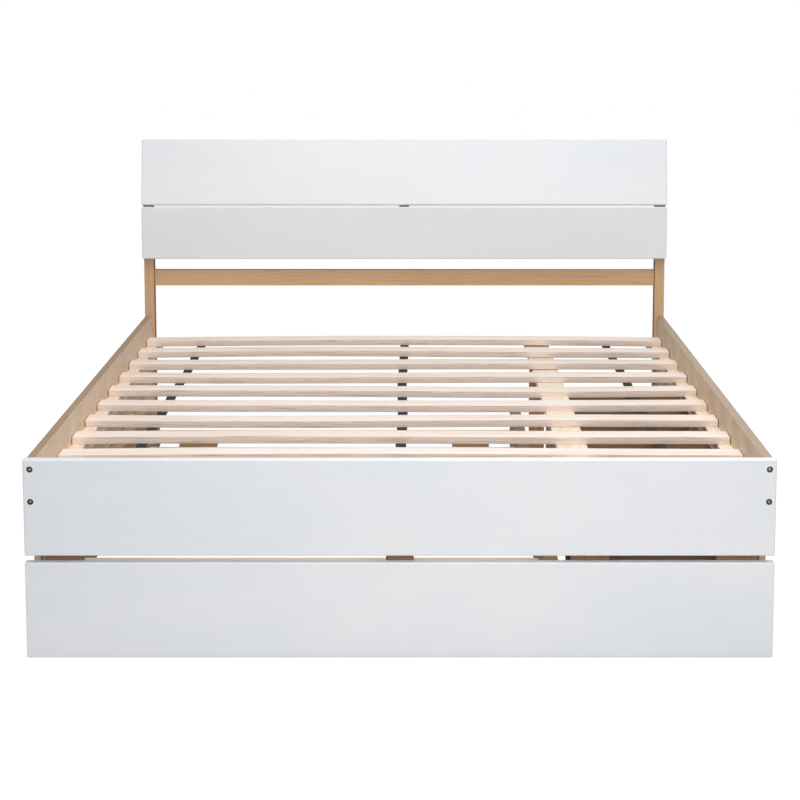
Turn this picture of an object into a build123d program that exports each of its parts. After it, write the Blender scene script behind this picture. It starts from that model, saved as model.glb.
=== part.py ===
"""Platform bed: slatted frame, two side drawers on telescopic runners and a roll-out trundle on castors.

Millimetres. +X is to the right when looking from the foot, +Y runs from foot to head, +Z is up.
Lengths along Y are set out from the front face of the footboard. The origin is the centre of the
bed's footprint, on the floor.
"""

from build123d import *
import math
import os

# ---- Overall ------------------------------------------------------------------------------------
BOARD_WIDTH = 1605.0  # footboard and headboard planks, end to end
FRAME_LENGTH = 2075.0  # clear length from the back of the footboard to the head posts
RAIL_TOP = 435.0  # side rails and footboard
SIDE_HEIGHT = 210.0  # every plank, rail and drawer line below the mattress
PLANK_GAP = 15.0  # shadow gap between the lower and the upper line
FLOOR_GAP = 20.0  # drawer fronts and fascia above the floor
TOUCH_GAP = 0.5  # between parts that slide past each other
FACE_TOP_GAP = 3.0  # drawer fronts and fascia below the side rails
EDGE = 3.0  # rounding of the painted planks
SOFT_EDGE = 1.5  # rounding of the plain timber

# ---- Footboard ----------------------------------------------------------------------------------
FOOT_PLANK_THICK = 25.0
BATTEN_THICK = 25.0
CORNER_BATTEN_WIDTH = 89.0
CORNER_BATTEN_INSET = 32.5  # from the end of the planks
CENTRE_BATTEN_WIDTH = 60.0
FOOT_LEG_WIDTH = 83.0
FOOT_LEG_INSET = 2.5  # from the near edge of the support board

# ---- Side rails and ledgers ---------------------------------------------------------------------
RAIL_THICK = 20.0
RAIL_INSET = 5.0  # rail face behind the end of the planks
LEDGER_SIZE = 32.0

# ---- Slats, straps and support board ------------------------------------------------------------
SLAT_COUNT = 10
SLAT_WIDTH = 70.0
SLAT_THICK = 18.0
SLAT_DROP = 53.0  # top of the slats below the top of the rails
SLAT_END_PLAY = 2.0
SLAT_CROWN = 5.0  # sprung slats rise this much in the middle
SLAT_FOOT_SPACE = 63.0  # footboard to the first slat
SLAT_HEAD_SPACE = 92.0  # last slat to the head posts
STRAP_WIDTH = 25.0
STRAP_THICK = 1.5
STRAP_SPREAD = 610.0
SUPPORT_WIDTH = 72.0
SUPPORT_START_X = 365.5
SUPPORT_THICK = 15.0
SUPPORT_PAST_POST = 20.0
HEAD_LEG_WIDTH = 46.0
HEAD_LEG_DEPTH = 40.0
HEAD_LEG_INSET = 5.0

# ---- Headboard ----------------------------------------------------------------------------------
POST_WIDTH = 30.0
POST_DEPTH = 40.0
POST_INSET = 3.0
POST_BEND_Z = 775.0
HEAD_TILT = 12.0  # degrees that the upper part leans back
HEAD_PLANK_THICK = 20.0
HEAD_LOWER_BOTTOM = 614.0
HEAD_LOWER_HEIGHT = 159.0
HEAD_UPPER_HEIGHT = 202.0
HEAD_UPPER_START = 1.0  # along the slope, from the bend
BRACE_WIDTH = 30.0
BRACE_THICK = 20.0
CROSS_RAIL_BOTTOM = 528.0
CROSS_RAIL_HEIGHT = 49.0
CROSS_RAIL_THICK = 20.0
CROSS_RAIL_SETBACK = 10.0

# ---- Bolts and barrel nuts ----------------------------------------------------------------------
BOLT_RADIUS = 3.0
BOLT_HOLE_RADIUS = 3.4
BOLT_HEAD_RADIUS = 6.4
BOLT_HEAD_HEIGHT = 4.0
BOLT_SOCKET_RADIUS = 2.9
BOLT_SOCKET_DEPTH = 2.5
BOLT_RECESS_RADIUS = 6.8
BOLT_RECESS_DEPTH = 5.0
BOLT_TOP_DROP = 21.5  # upper bolt below the top of the rail
BOLT_SPACING = 70.5
NUT_RADIUS = 4.9
NUT_HOLE_RADIUS = 5.0
NUT_LENGTH = 14.0
NUT_FROM_END = 35.0  # barrel nut from the end of the rail
BOLT_PAST_NUT = 10.0

# ---- Drawer bay ---------------------------------------------------------------------------------
PANEL_THICK = 15.0
BAY_START = 50.0  # footboard to the first partition
BAY_WIDTH = 562.0  # clear width of each drawer bay
BAY_BACK_X = 386.5
BAY_BACK_BOTTOM = 150.0
FACE_INSET = 30.5  # inner face of the fascia and end panel, from the end of the planks

# ---- Drawers ------------------------------------------------------------------------------------
DRAWER_COUNT = 2
DRAWER_SIDE_THICK = 12.0
DRAWER_BOTTOM_THICK = 5.0
DRAWER_BOX_BOTTOM = 45.0
DRAWER_BOX_HEIGHT = 140.0
DRAWER_FLOOR_RISE = 10.0  # bottom panel above the lower edge of the sides
DRAWER_BACK_SPACE = 11.0  # behind the drawer box
DRAWER_GROOVE = 5.0
FRONT_GAP = 3.0
FRONT_FOOT_SPACE = 3.0
SCOOP_WIDTH = 120.0
SCOOP_DEPTH = 22.0

# ---- Telescopic runners -------------------------------------------------------------------------
RUNNER_SPACE = 13.0  # between partition and drawer side
RUNNER_LENGTH = 350.0
RUNNER_HEIGHT = 35.0
RUNNER_SHEET = 1.2
RUNNER_CENTRE_Z = 115.0
RUNNER_STEP = 4.0  # each member is this much lower, above and below, than the one around it
RUNNER_OUTER_REACH = 9.0  # depth of each member's lips
RUNNER_MIDDLE_REACH = 7.5
RUNNER_INNER_REACH = 7.5
RUNNER_MIDDLE_START = 3.0  # partition to the middle member

# ---- Trundle ------------------------------------------------------------------------------------
TRUNDLE_RAIL_THICK = 30.0
TRUNDLE_RAIL_BOTTOM = 57.0
TRUNDLE_RAIL_HEIGHT = 116.0
TRUNDLE_INNER_X = 350.5
TRUNDLE_START = 94.0  # footboard to the trundle's side rails
TRUNDLE_HEAD_SPACE = 140.0  # trundle's side rails to the head posts
FASCIA_END_PLAY = 3.0
TRUNDLE_SLAT_COUNT = 8
TRUNDLE_SLAT_RISE = 33.0
TRUNDLE_SLAT_THICK = 15.0
TRUNDLE_SLAT_HOUSING = 8.0  # slat ends let into the side rails
CASTOR_BLOCK_WIDTH = 110.0
CASTOR_FROM_END = 150.0  # centre of a castor from the outer face of a trundle rail
WHEEL_RADIUS = 20.0
WHEEL_WIDTH = 20.0
WHEEL_EDGE = 2.0
WHEEL_DISH = 2.5
WHEEL_HUB_RADIUS = 7.0
WHEEL_RIM_INNER = 14.5
AXLE_RADIUS = 3.0
AXLE_CLEARANCE = 0.05
FORK_SHEET = 2.5
FORK_PLAY = 1.0
FORK_LENGTH = 26.0
CASTOR_PLATE_LENGTH = 70.0
CASTOR_PLATE_WIDTH = 44.0

# ---- Worked out from the above ------------------------------------------------------------------
HALF_WIDTH = BOARD_WIDTH / 2
FRAME_START = FOOT_PLANK_THICK
FRAME_END = FRAME_START + FRAME_LENGTH
LOWER_TOP = RAIL_TOP - SIDE_HEIGHT - PLANK_GAP
RAIL_BOTTOM = RAIL_TOP - SIDE_HEIGHT
FACE_TOP = RAIL_BOTTOM - FACE_TOP_GAP
RAIL_OUTER_X = HALF_WIDTH - RAIL_INSET
RAIL_INNER_X = RAIL_OUTER_X - RAIL_THICK
LEDGER_INNER_X = RAIL_INNER_X - LEDGER_SIZE
SLAT_TOP = RAIL_TOP - SLAT_DROP
SLAT_BOTTOM = SLAT_TOP - SLAT_THICK
SLAT_REACH = RAIL_INNER_X - SLAT_END_PLAY
LEDGER_BOTTOM = SLAT_BOTTOM - LEDGER_SIZE
SUPPORT_BOTTOM = SLAT_BOTTOM - SUPPORT_THICK
SLAT_PITCH = (FRAME_LENGTH - SLAT_FOOT_SPACE - SLAT_HEAD_SPACE - SLAT_WIDTH) / (SLAT_COUNT - 1)
CORNER_BATTEN_OUTER_X = HALF_WIDTH - CORNER_BATTEN_INSET
FACE_X = HALF_WIDTH - FACE_INSET
POST_OUTER_X = HALF_WIDTH - POST_INSET
POST_INNER_X = POST_OUTER_X - POST_WIDTH
TILT_SIN = math.sin(math.radians(HEAD_TILT))
TILT_COS = math.cos(math.radians(HEAD_TILT))
HEAD_SLOPE_END = HEAD_UPPER_START + HEAD_UPPER_HEIGHT
BED_LENGTH = FRAME_END + HEAD_SLOPE_END * TILT_SIN + POST_DEPTH * TILT_COS
TRUNDLE_FRONT = FRAME_START + TRUNDLE_START
TRUNDLE_BACK = FRAME_END - TRUNDLE_HEAD_SPACE
TRUNDLE_LENGTH = TRUNDLE_BACK - TRUNDLE_FRONT
TRUNDLE_RAIL_TOP = TRUNDLE_RAIL_BOTTOM + TRUNDLE_RAIL_HEIGHT
TRUNDLE_SLAT_BOTTOM = TRUNDLE_RAIL_BOTTOM + TRUNDLE_SLAT_RISE
BOLT_X = RAIL_OUTER_X - RAIL_THICK / 2
BOLT_HEIGHTS = (RAIL_TOP - BOLT_TOP_DROP, RAIL_TOP - BOLT_TOP_DROP - BOLT_SPACING)


# ---- Helpers ------------------------------------------------------------------------------------
def block(x, y, z, rounding=0.0):
    """A board between two planes each way, with its edges rounded."""
    size = (x[1] - x[0], y[1] - y[0], z[1] - z[0])
    solid = Pos(x[0], y[0], z[0]) * Box(*size, align=(Align.MIN, Align.MIN, Align.MIN))
    if rounding > 0:
        solid = fillet(solid.edges(), rounding)
    return solid


def cylinder_along_y(radius, x, z, start, end):
    """A round bar or bore along Y."""
    middle = (start + end) / 2
    return Pos(x, middle, z) * Rot(90, 0, 0) * Cylinder(radius, abs(end - start))


def cylinder_along_x(radius, y, z, start, end):
    """A round bar or bore along X."""
    middle = (start + end) / 2
    return Pos(middle, y, z) * Rot(0, 90, 0) * Cylinder(radius, abs(end - start))


def profile_along_x(points, start, end):
    """A solid with an outline drawn in (y, z), running along X."""
    outline = Polyline(*[(start, y, z) for y, z in points], close=True)
    return extrude(make_face(outline), amount=end - start, dir=(1, 0, 0))


def save(name, *solids):
    """Write one sub-part, moved so that the bed's footprint is centred on the origin."""
    placed = [Pos(0, -BED_LENGTH / 2, 0) * solid for solid in solids]
    shape = placed[0] if len(placed) == 1 else Compound(children=placed)
    export_step(shape, os.path.join("parts", name + ".step"))


# ---- Bolts, nuts and their holes ----------------------------------------------------------------
def bolt_places():
    """Each bolt as (x, z, head face, direction into the timber, end of the rail it draws up)."""
    places = []
    for side in (-1, 1):
        for z in BOLT_HEIGHTS:
            places.append((side * BOLT_X, z, 0.0, 1, FRAME_START))
            places.append((side * BOLT_X, z, FRAME_END + POST_DEPTH, -1, FRAME_END))
    return places


def bolt(x, z, face, way, rail_end):
    """Socket-head bolt, with its head recessed in the outer face."""
    seat = face + way * BOLT_RECESS_DEPTH
    tip = rail_end + way * (NUT_FROM_END + BOLT_PAST_NUT)
    head_top = seat - way * BOLT_HEAD_HEIGHT
    head = cylinder_along_y(BOLT_HEAD_RADIUS, x, z, head_top, seat)
    shank = cylinder_along_y(BOLT_RADIUS, x, z, seat, tip)
    socket_plane = Plane((x, head_top, z), x_dir=(1, 0, 0), z_dir=(0, way, 0))
    socket = extrude(socket_plane * RegularPolygon(BOLT_SOCKET_RADIUS, 6), amount=BOLT_SOCKET_DEPTH)
    return head + shank - socket


def bolt_hole(x, z, face, way, rail_end):
    """Recess and through bore for one bolt, up to the end of its thread."""
    seat = face + way * BOLT_RECESS_DEPTH
    tip = rail_end + way * (NUT_FROM_END + BOLT_PAST_NUT + 2)
    recess = cylinder_along_y(BOLT_RECESS_RADIUS, x, z, face, seat)
    return recess + cylinder_along_y(BOLT_HOLE_RADIUS, x, z, face, tip)


def nut_span(x):
    """Barrel nuts go in from the inner face of the rail."""
    side = math.copysign(1, x)
    return side * RAIL_INNER_X, side * (RAIL_INNER_X + NUT_LENGTH)


def barrel_nut(x, z, face, way, rail_end):
    """Cross dowel with the bolt through it."""
    y = rail_end + way * NUT_FROM_END
    body = cylinder_along_x(NUT_RADIUS, y, z, *nut_span(x))
    return body - cylinder_along_y(BOLT_RADIUS, x, z, y - NUT_RADIUS, y + NUT_RADIUS)


def nut_hole(x, z, face, way, rail_end):
    """Blind cross hole for one barrel nut."""
    y = rail_end + way * NUT_FROM_END
    return cylinder_along_x(NUT_HOLE_RADIUS, y, z, *nut_span(x))


def drilled(solid, with_nuts=False):
    """The solid with every bolt hole, and the nut holes if asked, cut through it."""
    box = solid.bounding_box()
    for place in bolt_places():
        if box.min.X < place[0] < box.max.X:
            solid = solid - bolt_hole(*place)
            if with_nuts:
                solid = solid - nut_hole(*place)
    return solid


# ---- Footboard ----------------------------------------------------------------------------------
def make_footboard():
    across = (-HALF_WIDTH, HALF_WIDTH)
    thick = (0, FOOT_PLANK_THICK)
    behind = (FRAME_START, FRAME_START + BATTEN_THICK)
    save("footboard_lower_plank", block(across, thick, (0, LOWER_TOP), EDGE))
    save("footboard_upper_plank", drilled(block(across, thick, (RAIL_BOTTOM, RAIL_TOP), EDGE)))
    for name, side in (("left", -1), ("right", 1)):
        ends = (side * CORNER_BATTEN_OUTER_X, side * (CORNER_BATTEN_OUTER_X - CORNER_BATTEN_WIDTH))
        batten = block(sorted(ends), behind, (0, LEDGER_BOTTOM), SOFT_EDGE)
        save(f"footboard_corner_batten_{name}", batten)
    centre = (-CENTRE_BATTEN_WIDTH / 2, CENTRE_BATTEN_WIDTH / 2)
    save("footboard_centre_batten", block(centre, behind, (0, SLAT_BOTTOM), SOFT_EDGE))
    leg_start = SUPPORT_START_X + FOOT_LEG_INSET
    leg = (leg_start, leg_start + FOOT_LEG_WIDTH)
    save("footboard_support_leg", block(leg, behind, (0, SUPPORT_BOTTOM), SOFT_EDGE))


# ---- Side rails and slat ledgers ----------------------------------------------------------------
def make_sides():
    along = (FRAME_START, FRAME_END)
    for name, side in (("left", -1), ("right", 1)):
        rail_x = sorted((side * RAIL_INNER_X, side * RAIL_OUTER_X))
        rail = block(rail_x, along, (RAIL_BOTTOM, RAIL_TOP), SOFT_EDGE)
        save(f"side_rail_{name}", drilled(rail, with_nuts=True))
        ledger_x = sorted((side * LEDGER_INNER_X, side * RAIL_INNER_X))
        save(f"slat_ledger_{name}", block(ledger_x, along, (LEDGER_BOTTOM, SLAT_BOTTOM), SOFT_EDGE))


# ---- Slats, straps and the board under them -----------------------------------------------------
def slat_start(index):
    """Front edge of a slat, counted from the foot."""
    return FRAME_START + SLAT_FOOT_SPACE + index * SLAT_PITCH


def crown_radius():
    """Radius of the underside of a sprung slat."""
    return (SLAT_REACH**2 + SLAT_CROWN**2) / (2 * SLAT_CROWN)


def crown_at(x):
    """Height of a slat's underside above its ends."""
    radius = crown_radius()
    return math.sqrt(radius**2 - x**2) - (radius - SLAT_CROWN)


def sprung_slat(start):
    """Slat with an even upward bow, resting on its ends."""
    with BuildPart() as slat:
        with BuildSketch(Plane.XZ.offset(-start)):
            with BuildLine():
                ThreePointArc(
                    (-SLAT_REACH, SLAT_BOTTOM), (0, SLAT_BOTTOM + SLAT_CROWN), (SLAT_REACH, SLAT_BOTTOM)
                )
                Line((SLAT_REACH, SLAT_BOTTOM), (SLAT_REACH, SLAT_TOP))
                ThreePointArc((SLAT_REACH, SLAT_TOP), (0, SLAT_TOP + SLAT_CROWN), (-SLAT_REACH, SLAT_TOP))
                Line((-SLAT_REACH, SLAT_TOP), (-SLAT_REACH, SLAT_BOTTOM))
            make_face()
        extrude(amount=-SLAT_WIDTH)
        fillet(slat.edges(), SOFT_EDGE)
    return slat.part


def make_slats():
    for index in range(SLAT_COUNT):
        save(f"slat_{index + 1:02d}", sprung_slat(slat_start(index)))
    strap_y = (slat_start(0), slat_start(SLAT_COUNT - 1) + SLAT_WIDTH)
    straps = []
    for x in (-STRAP_SPREAD, 0, STRAP_SPREAD):
        top = SLAT_BOTTOM + crown_at(abs(x) + STRAP_WIDTH / 2)
        strap_x = (x - STRAP_WIDTH / 2, x + STRAP_WIDTH / 2)
        straps.append(block(strap_x, strap_y, (top - STRAP_THICK, top)))
    save("slat_straps", *straps)


def make_support():
    board_x = (SUPPORT_START_X, SUPPORT_START_X + SUPPORT_WIDTH)
    board_end = FRAME_END + SUPPORT_PAST_POST
    board = block(board_x, (FRAME_START, board_end), (SUPPORT_BOTTOM, SLAT_BOTTOM), SOFT_EDGE)
    save("slat_support_board", board)
    leg_x = (board_x[1] - HEAD_LEG_INSET - HEAD_LEG_WIDTH, board_x[1] - HEAD_LEG_INSET)
    leg = block(leg_x, (board_end - HEAD_LEG_DEPTH, board_end), (0, SUPPORT_BOTTOM), SOFT_EDGE)
    save("slat_support_leg", leg)


# ---- Headboard ----------------------------------------------------------------------------------
def bent_profile(thick, bottom, end):
    """Outline in (y, z) of a bar behind the planks, upright at first and leaning back above the bend.

    end is the height of its top, measured along the slope from the bend.
    """
    back = FRAME_END + thick
    back_bend_z = POST_BEND_Z - thick * math.tan(math.radians(HEAD_TILT / 2))
    top_y = FRAME_END + end * TILT_SIN
    top_z = POST_BEND_Z + end * TILT_COS
    return [
        (FRAME_END, bottom),
        (back, bottom),
        (back, back_bend_z),
        (top_y + thick * TILT_COS, top_z - thick * TILT_SIN),
        (top_y, top_z),
        (FRAME_END, POST_BEND_Z),
    ]


def leaning_plank():
    """The upper plank, flat on the sloping front of the posts."""
    start, end = HEAD_UPPER_START, HEAD_SLOPE_END
    flat = block((-HALF_WIDTH, HALF_WIDTH), (-HEAD_PLANK_THICK, 0), (start, end), EDGE)
    return Pos(0, FRAME_END, POST_BEND_Z) * Rot(-HEAD_TILT, 0, 0) * flat


def make_headboard():
    across = (-HALF_WIDTH, HALF_WIDTH)
    lower_z = (HEAD_LOWER_BOTTOM, HEAD_LOWER_BOTTOM + HEAD_LOWER_HEIGHT)
    front = (FRAME_END - HEAD_PLANK_THICK, FRAME_END)
    save("headboard_lower_plank", block(across, front, lower_z, EDGE))
    save("headboard_upper_plank", leaning_plank())
    post_outline = bent_profile(POST_DEPTH, 0, HEAD_SLOPE_END)
    for name, side in (("left", -1), ("right", 1)):
        post = profile_along_x(post_outline, *sorted((side * POST_INNER_X, side * POST_OUTER_X)))
        post = fillet(post.edges(), SOFT_EDGE)
        save(f"head_post_{name}", drilled(post))
    brace_outline = bent_profile(BRACE_THICK, HEAD_LOWER_BOTTOM, HEAD_SLOPE_END - EDGE)
    brace = profile_along_x(brace_outline, -BRACE_WIDTH / 2, BRACE_WIDTH / 2)
    save("headboard_centre_brace", fillet(brace.edges(), SOFT_EDGE))
    rail_y = (FRAME_END + CROSS_RAIL_SETBACK, FRAME_END + CROSS_RAIL_SETBACK + CROSS_RAIL_THICK)
    rail_z = (CROSS_RAIL_BOTTOM, CROSS_RAIL_BOTTOM + CROSS_RAIL_HEIGHT)
    save("headboard_cross_rail", block((-POST_INNER_X, POST_INNER_X), rail_y, rail_z, SOFT_EDGE))


# ---- Drawer bay ---------------------------------------------------------------------------------
def partition_start(index):
    """Foot side of a partition, counted from the foot."""
    return FRAME_START + BAY_START + index * (PANEL_THICK + BAY_WIDTH)


def make_drawer_bay():
    panel_x = BAY_BACK_X + PANEL_THICK
    notch = block(
        (LEDGER_INNER_X - TOUCH_GAP, FACE_X + 1), (-1, BED_LENGTH), (LEDGER_BOTTOM, SLAT_BOTTOM)
    )
    for index in range(DRAWER_COUNT + 1):
        start = partition_start(index)
        panel = block((panel_x, FACE_X), (start, start + PANEL_THICK), (0, SUPPORT_BOTTOM))
        save(f"drawer_partition_{index + 1}", panel - notch)
    back_y = (partition_start(0), partition_start(DRAWER_COUNT) + PANEL_THICK)
    back = block((BAY_BACK_X, panel_x), back_y, (BAY_BACK_BOTTOM, SUPPORT_BOTTOM))
    save("drawer_bay_back", back)
    panel_start = partition_start(DRAWER_COUNT) + (PANEL_THICK + FRONT_GAP) / 2
    end_panel = block(
        (FACE_X, FACE_X + PANEL_THICK), (panel_start, FRAME_END), (FLOOR_GAP, FACE_TOP), SOFT_EDGE
    )
    save("side_end_panel", end_panel)


# ---- Telescopic runners -------------------------------------------------------------------------
def channel(y, way, web_at, reach, half_height, start, end):
    """A folded C channel along X, with its web web_at from the partition face at y.

    way leads into the bay, and a negative reach turns the lips back towards the partition.
    """
    web = y + way * web_at
    tips = web + way * reach
    inner = web + way * math.copysign(RUNNER_SHEET, reach)
    low, high = RUNNER_CENTRE_Z - half_height, RUNNER_CENTRE_Z + half_height
    outline = [
        (web, low),
        (tips, low),
        (tips, low + RUNNER_SHEET),
        (inner, low + RUNNER_SHEET),
        (inner, high - RUNNER_SHEET),
        (tips, high - RUNNER_SHEET),
        (tips, high),
        (web, high),
    ]
    return profile_along_x(outline, start, end)


def drawer_faces(index):
    """The two partition faces of a drawer's bay, each with the way that leads into the bay."""
    low = partition_start(index) + PANEL_THICK
    return ((low, 1), (low + BAY_WIDTH, -1))


def make_runner_rails():
    half = RUNNER_HEIGHT / 2
    start = BAY_BACK_X + PANEL_THICK + DRAWER_BACK_SPACE
    span = (start, start + RUNNER_LENGTH)
    rails = []
    for index in range(DRAWER_COUNT):
        for face, way in drawer_faces(index):
            rails.append(channel(face, way, 0, RUNNER_OUTER_REACH, half, *span))
    save("runner_rails", *rails)


# ---- Drawers ------------------------------------------------------------------------------------
def drawer_front(index):
    """Front panel with a finger scoop in the middle of its top edge."""
    start = partition_start(index) + (PANEL_THICK + FRONT_GAP) / 2
    end = partition_start(index + 1) + (PANEL_THICK - FRONT_GAP) / 2
    if index == 0:
        start = FRAME_START + FRONT_FOOT_SPACE
    inner = FACE_X + TOUCH_GAP
    panel = block((inner, inner + PANEL_THICK), (start, end), (FLOOR_GAP, FACE_TOP), SOFT_EDGE)
    return panel - finger_scoop(sum(f for f, _ in drawer_faces(index)) / 2, inner)


def finger_scoop(middle, inner):
    """Shallow arc cut from the top edge of a panel that stands on the plane x = inner."""
    radius = (SCOOP_WIDTH**2 / 4 + SCOOP_DEPTH**2) / (2 * SCOOP_DEPTH)
    centre_z = FACE_TOP - SCOOP_DEPTH + radius
    return cylinder_along_x(radius, middle, centre_z, inner - 1, inner + PANEL_THICK + 1)


def make_drawer(index):
    number = f"drawer_{index + 1}"
    back_x = BAY_BACK_X + PANEL_THICK + DRAWER_BACK_SPACE
    front_x = FACE_X + TOUCH_GAP
    low_z, high_z = DRAWER_BOX_BOTTOM, DRAWER_BOX_BOTTOM + DRAWER_BOX_HEIGHT
    floor_z = low_z + DRAWER_FLOOR_RISE
    outer = [face + way * RUNNER_SPACE for face, way in drawer_faces(index)]
    inside = (outer[0] + DRAWER_SIDE_THICK, outer[1] - DRAWER_SIDE_THICK)
    floor_y = (inside[0] - DRAWER_GROOVE, inside[1] + DRAWER_GROOVE)
    floor_x = (back_x + DRAWER_SIDE_THICK - DRAWER_GROOVE, front_x)
    floor = block(floor_x, floor_y, (floor_z, floor_z + DRAWER_BOTTOM_THICK))
    save(f"{number}_front", drawer_front(index))
    save(f"{number}_bottom", floor)
    low_side = block((back_x, front_x), (outer[0], inside[0]), (low_z, high_z)) - floor
    high_side = block((back_x, front_x), (inside[1], outer[1]), (low_z, high_z)) - floor
    save(f"{number}_side_foot", low_side)
    save(f"{number}_side_head", high_side)
    back = block((back_x, back_x + DRAWER_SIDE_THICK), inside, (low_z, high_z)) - floor
    save(f"{number}_back", back)
    half = RUNNER_HEIGHT / 2
    span = (back_x, back_x + RUNNER_LENGTH)
    middles, inners = [], []
    for face, way in drawer_faces(index):
        middles.append(
            channel(face, way, RUNNER_MIDDLE_START, RUNNER_MIDDLE_REACH, half - RUNNER_STEP, *span)
        )
        inners.append(
            channel(face, way, RUNNER_SPACE, -RUNNER_INNER_REACH, half - 2 * RUNNER_STEP, *span)
        )
    save(f"{number}_runner_middle", *middles)
    save(f"{number}_runner_inner", *inners)


# ---- Trundle ------------------------------------------------------------------------------------
def make_trundle_frame():
    along = (TRUNDLE_FRONT, TRUNDLE_BACK)
    rail_z = (TRUNDLE_RAIL_BOTTOM, TRUNDLE_RAIL_TOP)
    outer_x = (-FACE_X, -FACE_X + TRUNDLE_RAIL_THICK)
    inner_x = (TRUNDLE_INNER_X - TRUNDLE_RAIL_THICK, TRUNDLE_INNER_X)
    pitch = (TRUNDLE_LENGTH - SLAT_WIDTH) / (TRUNDLE_SLAT_COUNT - 1)
    slat_x = (outer_x[1] - TRUNDLE_SLAT_HOUSING, inner_x[0] + TRUNDLE_SLAT_HOUSING)
    slat_z = (TRUNDLE_SLAT_BOTTOM, TRUNDLE_SLAT_BOTTOM + TRUNDLE_SLAT_THICK)
    slats = []
    for index in range(TRUNDLE_SLAT_COUNT):
        start = TRUNDLE_FRONT + index * pitch
        slats.append(block(slat_x, (start, start + SLAT_WIDTH), slat_z))
    save("trundle_slats", *slats)
    for name, x in (("outer", outer_x), ("inner", inner_x)):
        rail = block(x, along, rail_z, SOFT_EDGE)
        for slat in slats:
            rail = rail - slat
        save(f"trundle_rail_{name}", rail)
    fascia_x = (-FACE_X - PANEL_THICK, -FACE_X)
    fascia_y = (FRAME_START + FASCIA_END_PLAY, FRAME_END - FASCIA_END_PLAY)
    fascia = block(fascia_x, fascia_y, (FLOOR_GAP, FACE_TOP), SOFT_EDGE)
    middle = sum(fascia_y) / 2
    for place in (middle - BAY_WIDTH, middle + BAY_WIDTH):
        fascia = fascia - finger_scoop(place, -FACE_X - PANEL_THICK)
    save("trundle_fascia", fascia)


def castor_places():
    """Centres (x, y) of the castors, one line at each side of the trundle."""
    lines = (-FACE_X + CASTOR_FROM_END, TRUNDLE_INNER_X - CASTOR_FROM_END)
    ends = (TRUNDLE_FRONT + SLAT_WIDTH / 2, TRUNDLE_BACK - SLAT_WIDTH / 2)
    return [[(x, y) for y in ends] for x in lines]


def castor_block(x, y):
    """Packing block under an end slat, which carries one castor."""
    half_x, half_y = CASTOR_BLOCK_WIDTH / 2, SLAT_WIDTH / 2
    block_z = (TRUNDLE_RAIL_BOTTOM, TRUNDLE_SLAT_BOTTOM)
    return block((x - half_x, x + half_x), (y - half_y, y + half_y), block_z, SOFT_EDGE)


def castor_bracket(x, y):
    """Pressed plate with two cheeks and a riveted axle along Y."""
    half_gap = WHEEL_WIDTH / 2 + FORK_PLAY
    plate_bottom = TRUNDLE_RAIL_BOTTOM - FORK_SHEET
    half_plate = (CASTOR_PLATE_LENGTH / 2, CASTOR_PLATE_WIDTH / 2)
    bracket = block(
        (x - half_plate[0], x + half_plate[0]),
        (y - half_plate[1], y + half_plate[1]),
        (plate_bottom, TRUNDLE_RAIL_BOTTOM),
    )
    for way in (-1, 1):
        cheek_y = sorted((y + way * half_gap, y + way * (half_gap + FORK_SHEET)))
        flat = block((x - FORK_LENGTH / 2, x + FORK_LENGTH / 2), cheek_y, (WHEEL_RADIUS, plate_bottom))
        bracket = bracket + flat + cylinder_along_y(FORK_LENGTH / 2, x, WHEEL_RADIUS, *cheek_y)
    reach = half_gap + FORK_SHEET
    return bracket + cylinder_along_y(AXLE_RADIUS, x, WHEEL_RADIUS, y - reach, y + reach)


def castor_wheel(x, y):
    """Moulded wheel with dished sides and a running bore."""
    half = WHEEL_WIDTH / 2
    bore = AXLE_RADIUS + AXLE_CLEARANCE
    middle = (WHEEL_HUB_RADIUS + WHEEL_RIM_INNER) / 2
    with BuildPart() as wheel:
        with BuildSketch(Plane.XY):
            with BuildLine():
                Polyline(
                    (bore, -half),
                    (WHEEL_HUB_RADIUS, -half),
                    (middle, -half + WHEEL_DISH),
                    (WHEEL_RIM_INNER, -half),
                    (WHEEL_RADIUS - WHEEL_EDGE, -half),
                    (WHEEL_RADIUS, -half + WHEEL_EDGE),
                    (WHEEL_RADIUS, half - WHEEL_EDGE),
                    (WHEEL_RADIUS - WHEEL_EDGE, half),
                    (WHEEL_RIM_INNER, half),
                    (middle, half - WHEEL_DISH),
                    (WHEEL_HUB_RADIUS, half),
                    (bore, half),
                    close=True,
                )
            make_face()
        revolve(axis=Axis.Y)
    return Pos(x, y, WHEEL_RADIUS) * wheel.part


def make_castors():
    lines = castor_places()
    everywhere = [place for line in lines for place in line]
    save("trundle_castor_blocks", *[castor_block(x, y) for x, y in everywhere])
    save("trundle_castor_brackets", *[castor_bracket(x, y) for x, y in everywhere])
    for name, line in zip(("outer", "inner"), lines):
        save(f"trundle_wheels_{name}", *[castor_wheel(x, y) for x, y in line])


# ---- Everything ---------------------------------------------------------------------------------
def main():
    os.makedirs("parts", exist_ok=True)
    make_footboard()
    make_sides()
    make_slats()
    make_support()
    make_headboard()
    make_drawer_bay()
    make_runner_rails()
    for index in range(DRAWER_COUNT):
        make_drawer(index)
    make_trundle_frame()
    make_castors()
    save("frame_bolts", *[bolt(*place) for place in bolt_places()])
    save("barrel_nuts", *[barrel_nut(*place) for place in bolt_places()])


main()
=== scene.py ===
"""Looks of the platform bed: lacquered planks, timber, sprung slats, webbing, hardware, light and camera."""

import math

import bpy
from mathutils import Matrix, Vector, noise


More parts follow.
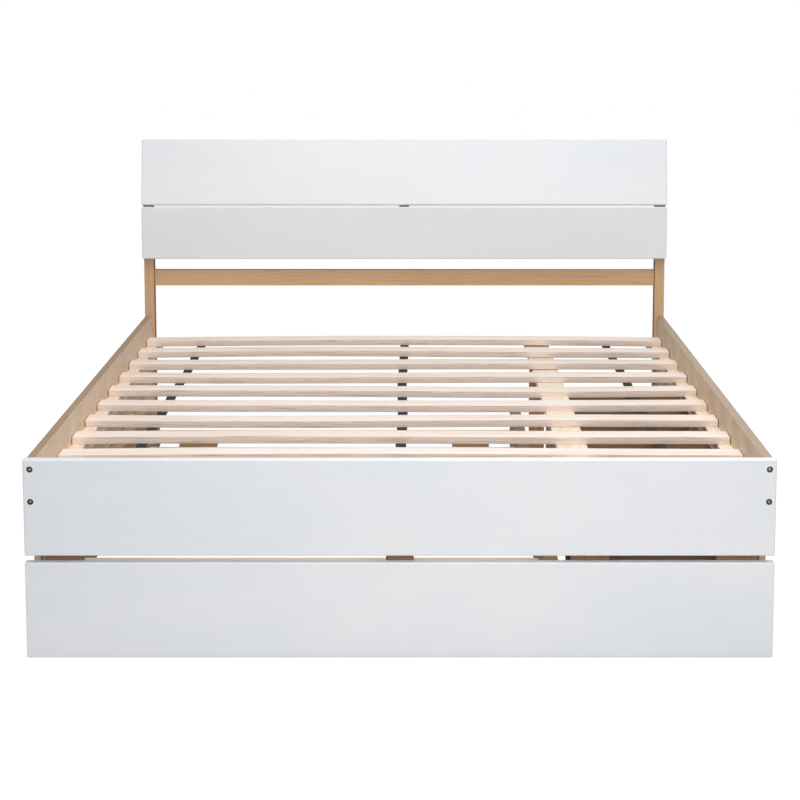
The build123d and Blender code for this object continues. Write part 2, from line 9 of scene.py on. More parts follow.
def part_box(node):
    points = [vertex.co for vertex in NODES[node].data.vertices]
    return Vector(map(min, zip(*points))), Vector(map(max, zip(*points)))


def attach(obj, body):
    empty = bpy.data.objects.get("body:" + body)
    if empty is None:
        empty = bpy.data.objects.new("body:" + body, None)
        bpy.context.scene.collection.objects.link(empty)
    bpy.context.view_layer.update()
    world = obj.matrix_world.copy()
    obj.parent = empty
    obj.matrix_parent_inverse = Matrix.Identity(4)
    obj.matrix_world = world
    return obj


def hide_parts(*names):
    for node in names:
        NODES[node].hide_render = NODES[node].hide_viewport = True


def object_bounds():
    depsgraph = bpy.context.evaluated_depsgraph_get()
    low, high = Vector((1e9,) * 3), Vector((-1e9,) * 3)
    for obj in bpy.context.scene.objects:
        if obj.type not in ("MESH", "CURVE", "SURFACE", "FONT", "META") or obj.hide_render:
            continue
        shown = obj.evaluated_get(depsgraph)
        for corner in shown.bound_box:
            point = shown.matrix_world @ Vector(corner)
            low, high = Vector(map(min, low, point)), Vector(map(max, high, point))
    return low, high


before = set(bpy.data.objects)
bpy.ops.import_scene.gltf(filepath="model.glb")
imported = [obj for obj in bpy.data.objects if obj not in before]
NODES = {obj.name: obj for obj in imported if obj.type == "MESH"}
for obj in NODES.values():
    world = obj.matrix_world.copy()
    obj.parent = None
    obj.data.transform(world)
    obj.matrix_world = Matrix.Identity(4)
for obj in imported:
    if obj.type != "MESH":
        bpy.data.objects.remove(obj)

CAD_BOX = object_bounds()
MM = 0.001


# ---- Node tree helpers --------------------------------------------------------------------------
class Tree:
    """A material's node tree, with short ways to add and join its nodes."""

    def __init__(self, name):
        self.material = bpy.data.materials.new(name)
        self.material.use_nodes = True
        self.nodes = self.material.node_tree.nodes
        self.links = self.material.node_tree.links
        self.shader = self.nodes["Principled BSDF"]

    def add(self, kind, **settings):
        node = self.nodes.new(kind)
        for key, value in settings.items():
            setattr(node, key, value)
        return node

    def join(self, value, socket):
        """Put a number, a colour or another node's output on a socket."""
        if isinstance(value, bpy.types.NodeSocket):
            self.links.new(value, socket)
        else:
            socket.default_value = value

    def position(self):
        return self.add("ShaderNodeTexCoord").outputs["Object"]

    def mapped(self, vector, scale=(1, 1, 1), turn=(0, 0, 0), move=(0, 0, 0)):
        node = self.add("ShaderNodeMapping")
        self.join(vector, node.inputs["Vector"])
        node.inputs["Scale"].default_value = scale
        node.inputs["Rotation"].default_value = turn
        node.inputs["Location"].default_value = move
        return node.outputs["Vector"]

    def noise(self, vector, scale, detail=3.0, rough=0.5, distort=0.0, colour=False):
        node = self.add("ShaderNodeTexNoise")
        self.join(vector, node.inputs["Vector"])
        node.inputs["Scale"].default_value = scale
        node.inputs["Detail"].default_value = detail
        node.inputs["Roughness"].default_value = rough
        node.inputs["Distortion"].default_value = distort
        return node.outputs["Color" if colour else "Fac"]

    def math(self, operation, a, b=0.0):
        node = self.add("ShaderNodeMath", operation=operation)
        self.join(a, node.inputs[0])
        self.join(b, node.inputs[1])
        return node.outputs[0]

    def vector_math(self, operation, a, b=(0, 0, 0)):
        node = self.add("ShaderNodeVectorMath", operation=operation)
        self.join(a, node.inputs[0])
        self.join(b, node.inputs[1])
        return node.outputs["Value" if operation == "LENGTH" else "Vector"]

    def range(self, value, low, high, to_low=0.0, to_high=1.0):
        node = self.add("ShaderNodeMapRange", interpolation_type="SMOOTHSTEP")
        self.join(value, node.inputs["Value"])
        node.inputs["From Min"].default_value = low
        node.inputs["From Max"].default_value = high
        node.inputs["To Min"].default_value = to_low
        node.inputs["To Max"].default_value = to_high
        return node.outputs["Result"]

    def ramp(self, value, *stops):
        node = self.add("ShaderNodeValToRGB")
        self.join(value, node.inputs["Fac"])
        band = node.color_ramp
        while len(band.elements) < len(stops):
            band.elements.new(0.5)
        for element, (place, colour) in zip(band.elements, stops):
            element.position = place
            element.color = (*colour, 1)
        return node.outputs["Color"]

    def mix(self, factor, a, b, blend="MIX"):
        node = self.add("ShaderNodeMix", data_type="RGBA", blend_type=blend)
        self.join(factor, node.inputs[0])
        for value, socket in ((a, node.inputs[6]), (b, node.inputs[7])):
            if isinstance(value, tuple):
                value = (*value, 1)
            self.join(value, socket)
        return node.outputs[2]

    def bump(self, height, strength, distance, under=None):
        node = self.add("ShaderNodeBump")
        node.inputs["Strength"].default_value = strength
        node.inputs["Distance"].default_value = distance
        self.join(height, node.inputs["Height"])
        if under is not None:
            self.join(under, node.inputs["Normal"])
        return node.outputs["Normal"]

    def finish(self, colour, rough, normal=None, metallic=0.0, **fixed):
        self.join(colour, self.shader.inputs["Base Color"])
        self.join(rough, self.shader.inputs["Roughness"])
        self.shader.inputs["Metallic"].default_value = metallic
        if normal is not None:
            self.join(normal, self.shader.inputs["Normal"])
        for name, value in fixed.items():
            self.shader.inputs[name.replace("_", " ")].default_value = value
        return self.material


def srgb(red, green, blue):
    """Linear colour from the 0-255 values of a display."""
    shares = [value / 255 for value in (red, green, blue)]
    return tuple(((c + 0.055) / 1.055) ** 2.4 if c > 0.04045 else c / 12.92 for c in shares)


# ---- Materials ----------------------------------------------------------------------------------
def white_lacquer():
    """Sprayed satin lacquer: faint grain telegraphing through, orange peel and soft scuffs."""
    t = Tree("white_lacquer")
    place = t.position()
    along = t.mapped(place, scale=(0.05, 1, 1))
    grain = t.noise(along, 160, detail=5, rough=0.65)
    cloud = t.noise(t.mapped(place, scale=(0.5, 1, 0.9)), 3.2, detail=3)
    peel = t.noise(place, 900, detail=2)
    scuff = t.range(t.noise(t.mapped(place, scale=(1, 1, 0.25)), 34, detail=8, rough=0.7), 0.62, 0.8)
    tint = t.ramp(cloud, (0.3, srgb(234, 238, 243)), (0.7, srgb(243, 244, 246)))
    tint = t.mix(t.math("MULTIPLY", t.range(grain, 0.35, 0.62), 0.08), tint, srgb(226, 229, 233))
    rough = t.math("ADD", t.range(cloud, 0.3, 0.7, 0.34, 0.42), t.math("MULTIPLY", scuff, 0.12))
    normal = t.bump(peel, 0.10, 0.0004)
    normal = t.bump(grain, 0.10, 0.0006, normal)
    return t.finish(tint, rough, normal, Coat_Weight=0.12, Coat_Roughness=0.25)


# How the trunk lies for a board whose length runs along each axis.
GRAIN_TURN = {"X": (0, 0, 0), "Y": (0, 0, math.radians(90)), "Z": (0, math.radians(90), 0)}


def timber(name, along, pale, mid, dark, ring=0.011, seed=0.0, contrast=1.0, side=None):
    """Planed timber with growth rings that run out as cathedrals, pores, streaks and a few pin knots.

    side is the axis that the faces with painted shade turn towards, and the shade colour that multiplies
    them.
    """
    t = Tree(name)
    board = t.mapped(t.position(), turn=GRAIN_TURN[along], move=(seed, seed * 0.37, seed * 0.61))
    slow = t.noise(t.mapped(board, scale=(0.9, 3.0, 3.0)), 1.6, detail=2, colour=True)
    drift = t.vector_math("MULTIPLY", t.vector_math("SUBTRACT", slow, (0.5, 0.5, 0.5)), (0, 0.17, 0.17))
    trunk = t.vector_math("ADD", t.mapped(board, scale=(0.0, 1, 1), move=(0, 0.03, 0.05)), drift)
    radius = t.vector_math("LENGTH", trunk)
    wobble = t.noise(t.mapped(board, scale=(0.18, 1, 1)), 26, detail=3)
    radius = t.math("ADD", radius, t.math("MULTIPLY", wobble, 0.006))
    ringed = t.math("FRACT", t.math("DIVIDE", radius, ring))
    late = t.math("MULTIPLY", t.range(ringed, 0.25, 0.92), t.range(ringed, 1.0, 0.93))
    fine = t.noise(t.mapped(board, scale=(0.03, 1, 1)), 420, detail=4, rough=0.6)
    broad = t.noise(t.mapped(board, scale=(0.05, 1, 1)), 34, detail=3)
    cloud = t.noise(t.mapped(board, scale=(0.35, 1, 1)), 5, detail=2)
    colour = t.ramp(cloud, (0.32, mid), (0.68, pale))
    colour = t.mix(t.math("MULTIPLY", late, 0.34 * contrast), colour, dark)
    colour = t.mix(t.math("MULTIPLY", t.range(broad, 0.52, 0.72), 0.21), colour, dark)
    colour = t.mix(t.math("MULTIPLY", t.range(fine, 0.55, 0.75), 0.30), colour, dark)
    spot = t.add("ShaderNodeTexVoronoi", feature="F1")
    t.join(t.mapped(board, scale=(1.0, 2.2, 2.2)), spot.inputs["Vector"])
    spot.inputs["Scale"].default_value = 2.6
    knot = t.range(spot.outputs["Distance"], 0.045, 0.012)
    colour = t.mix(t.math("MULTIPLY", knot, 0.35), colour, tuple(c * 0.45 for c in dark))
    if side is not None:
        axis, shade = side
        facing = t.add("ShaderNodeSeparateXYZ")
        t.join(t.add("ShaderNodeNewGeometry").outputs["Normal"], facing.inputs[0])
        # painted shade: faces turned towards the side axis are darkened by the shade colour
        painted_shade_mask = t.range(t.math("ABSOLUTE", facing.outputs[axis]), 0.6, 0.9)
        colour = t.mix(painted_shade_mask, colour, t.mix(1.0, colour, shade, "MULTIPLY"))
    rough = t.math("ADD", t.range(fine, 0.3, 0.7, 0.44, 0.60), t.math("MULTIPLY", late, -0.06))
    normal = t.bump(fine, 0.22, 0.0005)
    normal = t.bump(late, 0.12, 0.0004, normal)
    return t.finish(colour, rough, normal)


def laminated_slat(seed):
    """Peeled birch laminations: pale face veneer with long streaks, and thin glue lines on the edges."""
    t = Tree(f"slat_birch_{seed:02d}")
    place = t.position()
    board = t.mapped(place, move=(seed * 1.7, seed * 0.31, seed * 0.77))
    streaks = t.noise(t.mapped(board, scale=(0.035, 1, 1)), 95, detail=6, rough=0.62, distort=0.25)
    fine = t.noise(t.mapped(board, scale=(0.02, 1, 1)), 520, detail=3)
    cloud = t.noise(t.mapped(board, scale=(0.5, 1, 1)), 4.2, detail=3)
    face = t.ramp(cloud, (0.3, srgb(240, 224, 211)), (0.7, srgb(249, 238, 229)))
    face = t.mix(t.math("MULTIPLY", t.range(streaks, 0.50, 0.68), 0.55), face, srgb(214, 182, 156))
    face = t.mix(t.math("MULTIPLY", t.range(fine, 0.56, 0.76), 0.26), face, srgb(200, 170, 146))
    fleck = t.noise(t.mapped(board, scale=(0.055, 1, 1)), 150, detail=4, rough=0.6)
    fleck = t.math("MULTIPLY", t.range(fleck, 0.67, 0.73), 0.6)
    face = t.mix(fleck, face, srgb(150, 116, 92))
    layers = t.noise(t.mapped(board, scale=(0.02, 0.0, 1)), 300, detail=4, rough=0.7)
    veneers = ((0.34, srgb(198, 172, 155)), (0.5, srgb(244, 228, 216)), (0.66, srgb(218, 195, 180)))
    edge = t.ramp(layers, *veneers)
    split = t.noise(t.mapped(board, scale=(0.06, 0.0, 1)), 190, detail=5, rough=0.75)
    crack = t.range(split, 0.645, 0.69)
    edge = t.mix(t.math("MULTIPLY", crack, 0.75), edge, srgb(112, 82, 66))
    facing = t.add("ShaderNodeSeparateXYZ")
    t.join(t.add("ShaderNodeNewGeometry").outputs["Normal"], facing.inputs[0])
    on_edge = t.range(t.math("ABSOLUTE", facing.outputs["Z"]), 0.75, 0.35)
    colour = t.mix(on_edge, face, edge)
    rough = t.range(streaks, 0.3, 0.7, 0.50, 0.64)
    normal = t.bump(fine, 0.20, 0.0004)
    normal = t.bump(layers, 0.15, 0.0004, normal)
    return t.finish(colour, rough, normal)


def webbing():
    """Ribbed polypropylene tape: cross ribs a few millimetres apart and a fuzzy weave."""
    t = Tree("webbing_tape")
    place = t.position()
    weft = t.add("ShaderNodeTexWave", wave_type="BANDS", bands_direction="Y")
    warp = t.add("ShaderNodeTexWave", wave_type="BANDS", bands_direction="X")
    for wave, scale in ((weft, 120), (warp, 190)):
        t.join(place, wave.inputs["Vector"])
        wave.inputs["Scale"].default_value = scale
        wave.inputs["Distortion"].default_value = 0.6
        wave.inputs["Detail Scale"].default_value = 3
    weave = t.math("MULTIPLY", weft.outputs["Fac"], warp.outputs["Fac"])
    fluff = t.noise(place, 700, detail=4)
    colour = t.ramp(weave, (0.1, srgb(12, 11, 11)), (0.8, srgb(34, 31, 30)))
    colour = t.mix(t.math("MULTIPLY", fluff, 0.2), colour, srgb(48, 44, 42))
    normal = t.bump(weave, 0.6, 0.0006)
    return t.finish(colour, 0.82, normal, Sheen_Weight=0.1, Sheen_Roughness=0.5, Specular_IOR_Level=0.25)


def metal(name, colour, dark, rough, scratch_axis="X"):
    """Plated steel with drawn scratches, dulled patches and small pits."""
    t = Tree(name)
    place = t.mapped(t.position(), turn=GRAIN_TURN[scratch_axis])
    scratch = t.noise(t.mapped(place, scale=(0.04, 1, 1)), 900, detail=3)
    patch = t.noise(place, 60, detail=4)
    pits = t.range(t.noise(place, 1400, detail=1), 0.70, 0.78)
    tint = t.ramp(patch, (0.3, dark), (0.7, colour))
    tint = t.mix(t.math("MULTIPLY", pits, 0.5), tint, tuple(c * 0.5 for c in dark))
    shine = t.math("ADD", t.range(scratch, 0.35, 0.65, rough, rough + 0.14), t.math("MULTIPLY", patch, 0.08))
    return t.finish(tint, shine, t.bump(scratch, 0.15, 0.0002), metallic=1.0)


def castor_nylon():
    """Moulded nylon tread with fine grain, scuffed grey where it rolls."""
    t = Tree("castor_nylon")
    place = t.position()
    scuff = t.noise(place, 260, detail=5, rough=0.7)
    colour = t.ramp(scuff, (0.4, srgb(44, 44, 46)), (0.72, srgb(92, 91, 90)))
    return t.finish(colour, t.range(scuff, 0.3, 0.7, 0.42, 0.62), t.bump(scuff, 0.25, 0.0003))


# ---- Giving the CAD pieces their materials ------------------------------------------------------
def dress(names, material):
    for name in names:
        mesh = NODES[name].data
        mesh.materials.clear()
        mesh.materials.append(material)


# Pale, middle and dark colour of each timber.
TAN = (srgb(220, 183, 141), srgb(209, 169, 127), srgb(166, 122, 84))
RAIL = (srgb(233, 211, 184), srgb(221, 196, 168), srgb(180, 148, 116))
RAIL_PAINTED_SHADE = srgb(190, 178, 166)  # painted shade: multiplies the top and bottom faces of the side rails
HEAD_END_PAINTED_SHADE = srgb(168, 152, 138)  # painted shade: multiplies the side faces of the head posts and the top and bottom faces of the cross rail
CREAM = (srgb(250, 236, 218), srgb(243, 224, 203), srgb(208, 174, 142))
# painted shade: a darker copy of the tan timber, standing for the shade on the footboard battens and support
# leg between the planks
BATTEN_PAINTED_SHADE = (srgb(168, 134, 104), srgb(152, 118, 90), srgb(112, 82, 58))
PANEL = (srgb(182, 154, 120), srgb(166, 136, 102), srgb(120, 92, 64))
ZINC = (srgb(200, 202, 205), srgb(160, 162, 166))
BRIGHT_ZINC = (srgb(206, 208, 210), srgb(168, 170, 174))
BRONZE = (srgb(112, 96, 84), srgb(74, 62, 54))
# painted highlight: bright steel colour for the glint on each socket floor
SOCKET_PAINTED_GLINT = (srgb(226, 214, 200), srgb(196, 182, 166))


def dress_frame():
    dress(
        ["footboard_lower_plank", "footboard_upper_plank", "headboard_lower_plank", "headboard_upper_plank"],
        white_lacquer(),
    )
    # Painted shade on the posts' side faces and on the cross rail's top and bottom faces.
    posts = timber("post_timber_painted_shade", "Z", *TAN, seed=0.4, contrast=0.6, side=("X", HEAD_END_PAINTED_SHADE))
    dress(["head_post_left", "head_post_right"], posts)
    cross = timber("cross_rail_timber_painted_shade", "X", *TAN, seed=1.9, contrast=0.5, side=("Z", HEAD_END_PAINTED_SHADE))
    dress(["headboard_cross_rail"], cross)
    dress(["headboard_centre_brace", "slat_support_leg"], timber("brace_timber", "Z", *TAN, seed=2.7))
    battens = ["footboard_corner_batten_left", "footboard_corner_batten_right"]
    battens += ["footboard_centre_batten", "footboard_support_leg"]
    # Painted shade: the battens and the support leg take the darkened batten colour.
    dress(battens, timber("batten_timber_painted_shade", "Z", *BATTEN_PAINTED_SHADE, seed=3.3, contrast=0.7))
    # Painted shade on the side rails' top and bottom faces.
    rails = timber("rail_timber", "Y", *RAIL, ring=0.008, seed=4.1, contrast=0.45, side=("Z", RAIL_PAINTED_SHADE))
    dress(["side_rail_left", "side_rail_right"], rails)
    ledgers = timber("ledger_timber", "Y", *CREAM, seed=5.2, contrast=0.6)
    dress(["slat_ledger_left", "slat_ledger_right"], ledgers)
    dress(["slat_support_board"], timber("support_timber", "Y", *CREAM, seed=6.6, contrast=0.6))
    fascias = timber("fascia_timber", "Y", *RAIL, ring=0.008, seed=7.4, contrast=0.5)
    dress(["side_end_panel", "trundle_fascia"], fascias)
    fronts = timber("front_timber", "Y", *RAIL, ring=0.008, seed=7.9, contrast=0.5)
    dress(["drawer_1_front", "drawer_2_front"], fronts)
    upright = [f"drawer_partition_{number}" for number in (1, 2, 3)]
    dress(upright, timber("partition_board", "X", *PANEL, seed=8.8, contrast=0.7))
    dress(["drawer_bay_back"], timber("bay_back_board", "Y", *PANEL, seed=9.5, contrast=0.7))


def dress_drawers():
    sides = timber("drawer_side_board", "X", *CREAM, seed=10.3, contrast=0.6)
    backs = timber("drawer_back_board", "Y", *PANEL, seed=11.1, contrast=0.6)
    steel = metal("runner_zinc", *BRIGHT_ZINC, 0.26)
    for number in (1, 2):
        dress([f"drawer_{number}_side_foot", f"drawer_{number}_side_head"], sides)
        dress([f"drawer_{number}_back", f"drawer_{number}_bottom"], backs)
        dress([f"drawer_{number}_runner_middle", f"drawer_{number}_runner_inner"], steel)
    dress(["runner_rails"], steel)


def dress_trundle():
    long_timber = timber("trundle_timber", "Y", *PANEL, ring=0.008, seed=12.7, contrast=0.6)
    dress(["trundle_rail_outer", "trundle_rail_inner"], long_timber)
    dress(["trundle_slats"], timber("trundle_slat_timber", "X", *CREAM, seed=13.9, contrast=0.6))
    dress(["trundle_castor_blocks"], timber("castor_block_timber", "X", *TAN, seed=14.2))
    dress(["trundle_castor_brackets"], metal("castor_zinc", *ZINC, 0.3))
    dress(["trundle_wheels_outer", "trundle_wheels_inner"], castor_nylon())


def dress_hardware():
    dress(["barrel_nuts"], metal("nut_zinc", *ZINC, 0.3))


# ---- Meshes -------------------------------------------------------------------------------------
def new_piece(name, points, faces, material):
    mesh = bpy.data.meshes.new(name)
    mesh.from_pydata(points, [], faces)
    mesh.update()
    mesh.materials.append(material)
    piece = bpy.data.objects.new(name, mesh)
    bpy.context.scene.collection.objects.link(piece)
    return piece


def loft(rings):
    """Closed skin over rings of points of equal count, capped at both ends."""
    count = len(rings[0])
    points = [point for ring in rings for point in ring]
    faces = []
    for row in range(len(rings) - 1):
        for step in range(count):
            a, b = row * count + step, row * count + (step + 1) % count
            faces.append((a, b, b + count, a + count))
    faces.append(tuple(range(count))[::-1])
    last = (len(rings) - 1) * count
    faces.append(tuple(range(last, last + count)))
    return points, faces


def rounded_section(half_width, half_thick, radius, steps=4):
    """Outline of a board's cross-section, anticlockwise, with rounded corners."""
    outline = []
    for corner, (sy, sz) in enumerate(((1, 1), (-1, 1), (-1, -1), (1, -1))):
        centre = (sy * (half_width - radius), sz * (half_thick - radius))
        for step in range(steps + 1):
            angle = math.radians(90 * corner + 90 * step / steps)
            outline.append((centre[0] + radius * math.cos(angle), centre[1] + radius * math.sin(angle)))
    return outline


# ---- Sprung slats -------------------------------------------------------------------------------
SLAT_THICK = 18.0 * MM
SLAT_ROUNDING = 1.5 * MM
SLAT_END_ROUNDING = 0.9 * MM
SLAT_STATIONS = 72
SLAT_SWING = 0.7 * MM  # fine waviness of a slat
SLAT_BOW = 1.3 * MM  # how far the middle of an average slat has risen
SLAT_BOW_CHANGE = 3.8 * MM  # more at both ends of the bed, less where a sleeper has pressed them flat
SLAT_LEAN = 1.6 * MM  # how far a slat's crown strays to its left or right
SLAT_LEAN_STEP = 1.9  # radians between one slat's lean and the next one's
SLAT_TWIST = 0.014  # radians, the most that a slat winds about its length
SLAT_STRAY = 1.2 * MM  # how far a slat strays towards the foot or the head
SLAT_HELD_LENGTH = 0.12  # at each end, where a slat can't stray
SLAT_SHARP_ANGLE = 40


def slat_rise(index, x, reach):
    """Height of a slat's middle line above its ends at x."""
    along = min(max(x / reach, -1.0), 1.0)
    share = (index - 1) / (len(SLAT_NODES) - 1)
    bow = SLAT_BOW + SLAT_BOW_CHANGE * math.cos(2 * math.pi * share)
    lean = SLAT_LEAN * math.sin(index * SLAT_LEAN_STEP)
    return bow * (1 - along**2) + lean * math.sin(math.pi * along)


def held_at_ends(x, reach):
    """1 along most of a slat, falling to 0 where its ends are held."""
    return min(1.0, (reach - abs(x)) / SLAT_HELD_LENGTH)


def make_slat(index):
    """A slat as the saw and the press left it: bowed, a little uneven, with eased ends."""
    node = f"slat_{index:02d}"
    low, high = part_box(node)
    reach = high.x
    middle = (low.y + high.y) / 2
    half_width, half_thick = (high.y - low.y) / 2, SLAT_THICK / 2
    section = rounded_section(half_width, half_thick, SLAT_ROUNDING)
    rings = []
    for station in range(SLAT_STATIONS + 1):
        x = -reach * math.cos(math.pi * station / SLAT_STATIONS)
        ease = min(1.0, (reach - abs(x)) / SLAT_END_ROUNDING)
        inset = SLAT_END_ROUNDING * (1 - math.sqrt(max(0.0, 1 - (1 - ease) ** 2)))
        held = held_at_ends(x, reach)
        stray = SLAT_SWING * held * noise.noise(Vector((x * 2.3, index * 7.3, 0.5)))
        twist = SLAT_TWIST * held * noise.noise(Vector((x * 1.1, index * 3.1, 8.5)))
        side = SLAT_STRAY * held * noise.noise(Vector((x * 1.5, index * 5.7, 4.5)))
        z = low.z + half_thick + slat_rise(index, x, reach) + stray
        ring = []
        for across, up in section:
            across *= 1 - inset / half_width
            up *= 1 - inset / half_thick
            ring.append((x, middle + side + across - up * twist, z + up + across * twist))
        rings.append(ring)
    points, faces = loft(rings)
    slat = new_piece(f"sprung_{node}", points, faces, laminated_slat(index))
    smooth_by_angle(slat, SLAT_SHARP_ANGLE)
    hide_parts(node)
    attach(slat, "root")


def smooth_by_angle(piece, degrees):
    mesh = piece.data
    mesh.polygons.foreach_set("use_smooth", [True] * len(mesh.polygons))
    mesh.set_sharp_from_angle(angle=math.radians(degrees))


# ---- Webbing straps -----------------------------------------------------------------------------
STRAP_THICK = 1.5 * MM
STRAP_WIDTH = 25.0 * MM
STRAP_GAP = 0.2 * MM  # between a slat and the tape under it
STRAP_BELLY = 2.5 * MM  # sag between one slat and the next
STRAP_DRIFT = 3.0 * MM  # how far a tape strays from a straight line
STRAP_LEAN = 0.05  # radians, the most that a tape tilts across its width
STRAP_EDGE_SHARE = 0.45  # of its thickness, the rounding of its edges
STRAP_SHARP_ANGLE = 50
STRAP_STATIONS_PER_SLAT = 26


def strap_line(x, reach, slat_boxes):
    """Points (y, top z) of a tape stapled under every slat, with a little slack between them."""
    line = []
    for index, (low, high) in enumerate(slat_boxes, start=1):
        under = low.z + slat_rise(index, x, reach) - STRAP_GAP
        line.append((low.y, under))
        line.append((high.y, under))
    fine = []
    for (y0, z0), (y1, z1) in zip(line, line[1:]):
        between_slats = len(fine) % (2 * STRAP_STATIONS_PER_SLAT) >= STRAP_STATIONS_PER_SLAT
        for step in range(STRAP_STATIONS_PER_SLAT):
            share = step / STRAP_STATIONS_PER_SLAT
            belly = STRAP_BELLY * math.sin(math.pi * share) if between_slats else 0.0
            fine.append((y0 + (y1 - y0) * share, z0 + (z1 - z0) * share - belly))
    fine.append(line[-1])
    return fine


def make_straps(slat_nodes):
    low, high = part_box("slat_straps")
    half_width = STRAP_WIDTH / 2
    slat_boxes = [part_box(node) for node in slat_nodes]
    reach = slat_boxes[0][1].x
    section = rounded_section(half_width, STRAP_THICK / 2, STRAP_THICK * STRAP_EDGE_SHARE, steps=2)
    tape = webbing()
    for number, x in enumerate((low.x + half_width, 0.0, high.x - half_width)):
        rings = []
        for y, top in strap_line(x, reach, slat_boxes):
            drift = STRAP_DRIFT * noise.noise(Vector((y * 2.3, number * 9.1, 1.5)))
            lean = STRAP_LEAN * noise.noise(Vector((y * 6.1, number * 4.7, 6.5)))
            centre = top - STRAP_THICK / 2
            rings.append([(x + drift + across, y, centre + up + across * lean) for across, up in section])
        points, faces = loft(rings)
        strap = new_piece(f"webbing_strap_{number + 1}", points, faces, tape)
        smooth_by_angle(strap, STRAP_SHARP_ANGLE)
        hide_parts("slat_straps")
        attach(strap, "root")


# ---- Frame bolts --------------------------------------------------------------------------------
BOLT_HEAD_RADIUS = 6.4 * MM
BOLT_HEAD_HEIGHT = 4.0 * MM
BOLT_SHANK_RADIUS = 3.0 * MM
BOLT_SOCKET_RADIUS = 3.2 * MM
BOLT_SOCKET_DEPTH = 2.2 * MM
BOLT_LENGTHS = (69 * MM, 84 * MM)  # with the head, at the foot and at the head of the bed
BOLT_SIDES = 24
BOLT_TIP = 1.0 * MM  # taper at the shank's end
BOLT_TIP_SHARE = 0.8  # of the shank's radius, at the very end
BOLT_PITCH = 1.0 * MM
BOLT_ROOT_SHARE = 0.88  # of the shank's radius, at the bottom of the thread
BOLT_PLAIN_SHANK = 12.0 * MM  # between the head and the thread
BOLT_FLANGE_EASE = 0.3 * MM
BOLT_DOME = ((1.4 * MM, 0.0), (0.5 * MM, 0.5 * MM), (0.0, 1.6 * MM))  # depth, how far in from the rim
BOLT_SOCKET_LIP = 0.3 * MM
BOLT_SHARP_ANGLE = 35


def round_ring(radius):
    return [
        (radius * math.cos(2 * math.pi * k / BOLT_SIDES), radius * math.sin(2 * math.pi * k / BOLT_SIDES))
        for k in range(BOLT_SIDES)
    ]


def hexagon_ring(radius):
    """Hexagon with the same count of points as a round ring."""
    ring = []
    for k in range(BOLT_SIDES):
        angle = 2 * math.pi * k / BOLT_SIDES
        off = (angle % (math.pi / 3)) - math.pi / 6
        reach = radius * math.cos(math.pi / 6) / math.cos(off)
        ring.append((reach * math.cos(angle), reach * math.sin(angle)))
    return ring


def make_bolt(name, x, z, head_face, way, length, bronze, socket_glint):
    """Connector bolt: threaded shank, domed flange head and a hexagon socket whose floor carries a painted
    highlight.
    """
    shank = round_ring(BOLT_SHANK_RADIUS)
    thread_root = round_ring(BOLT_SHANK_RADIUS * BOLT_ROOT_SHARE)
    thread_start = length - BOLT_TIP
    thread_end = BOLT_HEAD_HEIGHT + BOLT_PLAIN_SHANK
    stations = [(length, round_ring(BOLT_SHANK_RADIUS * BOLT_TIP_SHARE)), (thread_start, shank)]
    for turn in range(int((thread_start - thread_end) / BOLT_PITCH)):
        depth = thread_start - (turn + 0.5) * BOLT_PITCH
        stations.append((depth, thread_root))
        stations.append((depth - BOLT_PITCH / 2, shank))
    stations += [
        (BOLT_HEAD_HEIGHT, shank),
        (BOLT_HEAD_HEIGHT, round_ring(BOLT_HEAD_RADIUS - BOLT_FLANGE_EASE)),
        (BOLT_HEAD_HEIGHT - BOLT_FLANGE_EASE, round_ring(BOLT_HEAD_RADIUS)),
    ]
    stations += [(depth, round_ring(BOLT_HEAD_RADIUS - inset)) for depth, inset in BOLT_DOME]
    stations += [
        (0.0, hexagon_ring(BOLT_SOCKET_RADIUS + BOLT_SOCKET_LIP)),
        (BOLT_SOCKET_LIP, hexagon_ring(BOLT_SOCKET_RADIUS)),
        (BOLT_SOCKET_DEPTH, hexagon_ring(BOLT_SOCKET_RADIUS)),
    ]
    rings = [[(x + a, head_face + way * depth, z + way * b) for a, b in ring] for depth, ring in stations]
    points, faces = loft(rings)
    bolt = new_piece(name, points, faces, bronze)
    bolt.data.materials.append(socket_glint)
    # painted highlight: the socket's floor takes the bright glint colour
    bolt.data.polygons[len(faces) - 1].material_index = 1
    smooth_by_angle(bolt, BOLT_SHARP_ANGLE)
    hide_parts("frame_bolts")
    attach(bolt, "root")


def make_bolts():
    low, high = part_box("frame_bolts")
    bronze = metal("bolt_bronze", *BRONZE, 0.36, "Z")
    # painted highlight: the bright glint material for the socket floors
    socket_glint = metal("bolt_socket_painted_glint", *SOCKET_PAINTED_GLINT, 0.45, "Z")
    right = high.x - BOLT_HEAD_RADIUS
    heights = (high.z - BOLT_HEAD_RADIUS, low.z + BOLT_HEAD_RADIUS)
    ends = (("foot", low.y, 1, BOLT_LENGTHS[0]), ("head", high.y, -1, BOLT_LENGTHS[1]))
    for end, face, way, length in ends:
        for side, x in (("left", -right), ("right", right)):
            for level, z in zip(("upper", "lower"), heights):
                make_bolt(f"bolt_{end}_{side}_{level}", x, z, face, way, length, bronze, socket_glint)


# ---- Studio -------------------------------------------------------------------------------------
AMBIENT = 0.36  # light of the world on the bed
FLOOR_GLOW = 0.86  # how much of the floor's look is its own glow, as the camera sees it
FLOOR_GLOW_STRENGTH = 1.13
FLOOR_GREY = (0.55, 0.55, 0.55, 1)
FLOOR_REACH = 40.0
WHITE = (1, 1, 1, 1)


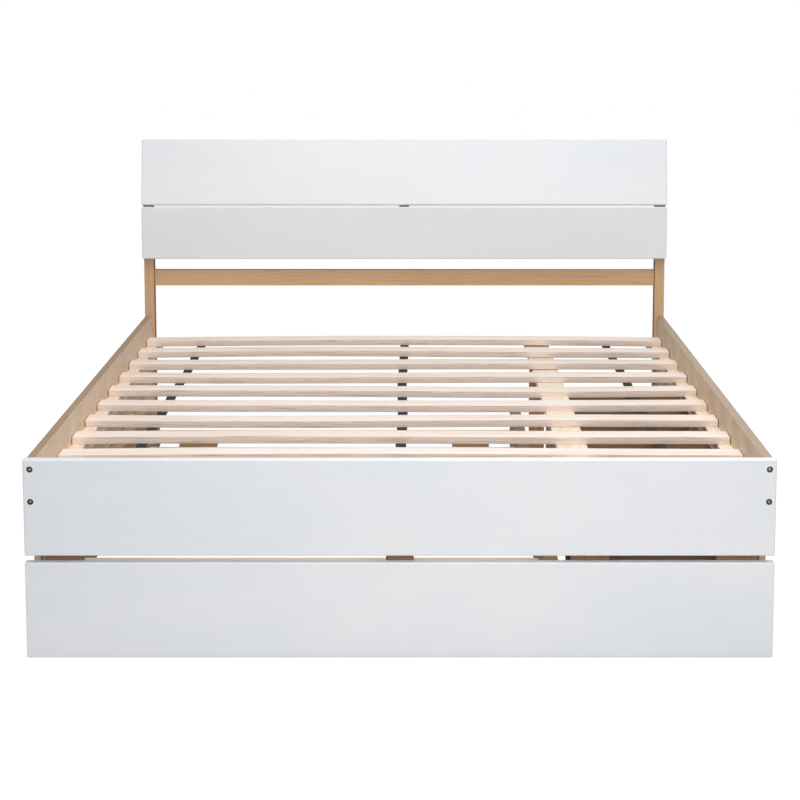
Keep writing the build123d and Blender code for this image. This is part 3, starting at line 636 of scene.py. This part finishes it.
def make_floor():
    """Plain white sweep: it looks evenly pale, with a faint contact shadow."""
    t = Tree("studio_floor")
    plain = t.add("ShaderNodeBsdfDiffuse")
    plain.inputs["Color"].default_value = FLOOR_GREY
    glow = t.add("ShaderNodeEmission")
    glow.inputs["Color"].default_value = WHITE
    glow.inputs["Strength"].default_value = FLOOR_GLOW_STRENGTH
    seen = t.add("ShaderNodeLightPath")
    share = t.math("MULTIPLY", seen.outputs["Is Camera Ray"], FLOOR_GLOW)
    blend = t.add("ShaderNodeMixShader")
    t.join(share, blend.inputs["Fac"])
    t.join(plain.outputs[0], blend.inputs[1])
    t.join(glow.outputs[0], blend.inputs[2])
    t.join(blend.outputs[0], t.nodes["Material Output"].inputs["Surface"])
    signs = ((-1, -1), (1, -1), (1, 1), (-1, 1))
    corners = [(sx * FLOOR_REACH, sy * FLOOR_REACH, 0) for sx, sy in signs]
    floor = new_piece("studio_floor", corners, [(0, 1, 2, 3)], t.material)


def make_light(name, place, aim, size, power):
    light = bpy.data.lights.new(name, "AREA")
    light.shape = "DISK"
    light.size = size
    light.energy = power
    lamp = bpy.data.objects.new(name, light)
    lamp.location = place
    lamp.rotation_mode = "QUATERNION"
    lamp.rotation_quaternion = (Vector(aim) - Vector(place)).to_track_quat("-Z", "Y")
    bpy.context.scene.collection.objects.link(lamp)


def make_studio():
    world = bpy.data.worlds.new("studio")
    world.use_nodes = True
    background = world.node_tree.nodes["Background"]
    background.inputs["Color"].default_value = WHITE
    seen = world.node_tree.nodes.new("ShaderNodeLightPath")
    strength = world.node_tree.nodes.new("ShaderNodeMapRange")
    strength.inputs["To Min"].default_value = AMBIENT
    strength.inputs["To Max"].default_value = 1.0
    world.node_tree.links.new(seen.outputs["Is Camera Ray"], strength.inputs["Value"])
    world.node_tree.links.new(strength.outputs["Result"], background.inputs["Strength"])
    bpy.context.scene.world = world
    bpy.context.scene.view_settings.view_transform = "Standard"
    make_floor()
    make_light("key_overhead", (0.2, -0.8, 3.8), (0, 0.0, 0.3), 2.6, 75)
    make_light("fill_front", (0.4, -3.9, 1.9), (0, -0.9, 0.35), 2.4, 55)
    make_light("rim_back", (1.2, 4.2, 2.6), (0, 0.8, 0.6), 2.2, 26)


# The camera stands in front of the footboard, a little right of the middle, looking slightly down.
CAMERA_DISTANCE = 4.5215
CAMERA_HEIGHT = 1.4099
CAMERA_ASIDE = 0.0324
CAMERA_PITCH = 8.065  # degrees
CAMERA_LENS = 97.69  # mm
CAMERA_SHIFT = (-0.0186, -0.12)


def make_camera():
    data = bpy.data.cameras.new("camera")
    data.lens = CAMERA_LENS
    data.shift_x, data.shift_y = CAMERA_SHIFT
    camera = bpy.data.objects.new("camera", data)
    camera.location = (CAMERA_ASIDE, CAD_BOX[0].y - CAMERA_DISTANCE, CAMERA_HEIGHT)
    camera.rotation_euler = (math.radians(90 - CAMERA_PITCH), 0, 0)
    bpy.context.scene.collection.objects.link(camera)
    bpy.context.scene.camera = camera


SLAT_NODES = sorted(name for name in NODES if name.startswith("slat_") and name[5:].isdigit())

make_camera()
make_studio()
dress_frame()
dress_drawers()
dress_trundle()
dress_hardware()
for slat_index in range(1, len(SLAT_NODES) + 1):
    make_slat(slat_index)
make_straps(SLAT_NODES)
make_bolts()
